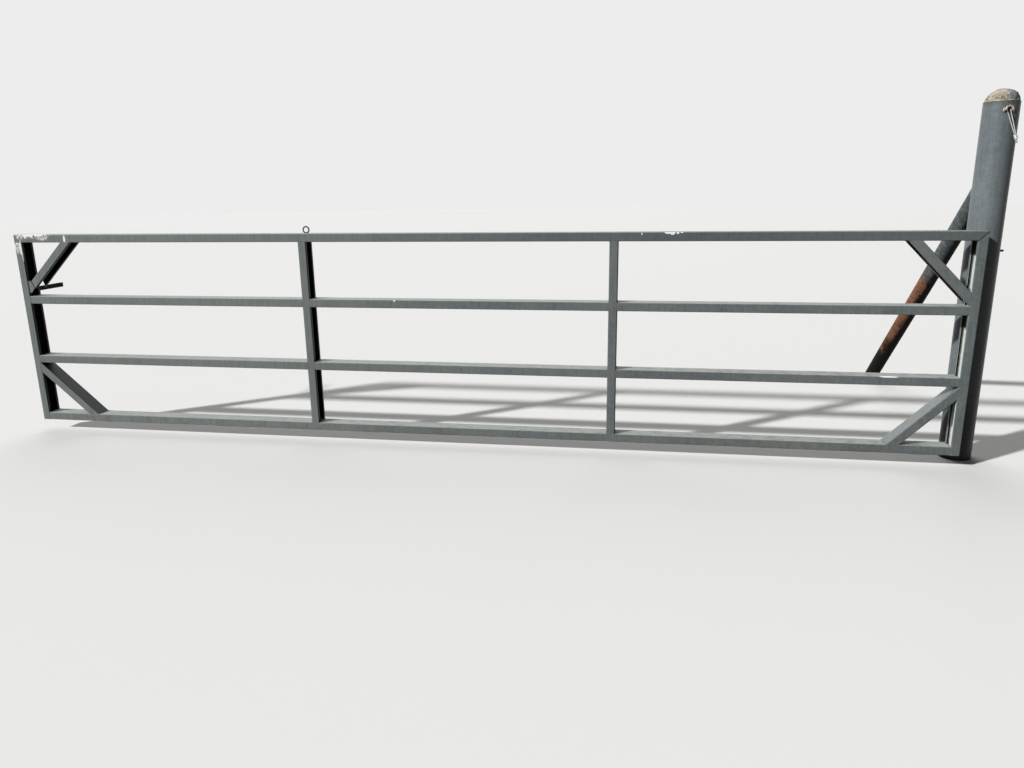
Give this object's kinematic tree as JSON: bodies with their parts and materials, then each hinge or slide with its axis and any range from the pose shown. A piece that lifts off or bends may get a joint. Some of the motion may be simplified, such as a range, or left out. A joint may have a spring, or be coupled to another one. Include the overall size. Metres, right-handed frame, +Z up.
{
  "type": "ranch swing gate with hinge post",
  "caption": "Wide welded ranch gate of lipped steel channel with braced corners, hinged on a concrete-filled pipe post that a diagonal pipe props.",
  "frame": {"origin": "middle of the hinge post's foot, at ground level", "axes": "+Z up along the post, -X along the open leaf to its free end, -Y to the side on which the leaf hangs, +Y to the diagonal pipe's foot"},
  "size_m": [6.1094, 2.2938, 2.092],
  "materials": {
    "leaf_paint": "satin",
    "worn_leaf_paint": "satin",
    "post_paint": "satin",
    "brace_paint": "matte",
    "rusty_steel": "matte",
    "pin_steel": "satin",
    "fence_wire": "satin",
    "post_concrete": "matte"
  },
  "bodies": {
    "post": {"hinge_post": "post_paint", "post_fill": "post_concrete", "post_brace": "brace_paint", "upper_socket": "post_paint", "lower_socket": "post_paint", "upper_pin": "pin_steel", "lower_pin": "pin_steel", "upper_washer": "pin_steel", "lower_washer": "pin_steel", "post_eye": "rusty_steel", "stay_loop": "fence_wire", "side_rod": "rusty_steel"},
    "leaf": {"top_rail": "worn_leaf_paint", "bottom_rail": "leaf_paint", "upper_rail_left": "leaf_paint", "upper_rail_middle": "leaf_paint", "upper_rail_right": "leaf_paint", "lower_rail_left": "leaf_paint", "lower_rail_middle": "leaf_paint", "lower_rail_right": "leaf_paint", "free_stile": "worn_leaf_paint", "inner_stile_left": "leaf_paint", "inner_stile_right": "leaf_paint", "hinge_stile": "leaf_paint", "free_stile_cap": "leaf_paint", "hinge_stile_cap": "leaf_paint", "upper_free_brace": "leaf_paint", "lower_free_brace": "leaf_paint", "upper_hinge_brace": "leaf_paint", "lower_hinge_brace": "leaf_paint", "brace_filler": "worn_leaf_paint", "rail_ring": "rusty_steel", "stop_bar": "rusty_steel", "upper_strap": "leaf_paint", "lower_strap": "leaf_paint"}
  },
  "joints": [
    {"name": "leaf_swing", "type": "hinge", "parent": "post", "child": "leaf", "pos_m": [-0.075, -0.111, 0.7], "axis": [0, 0, 1], "range_deg": [0, 90]}
  ]
}
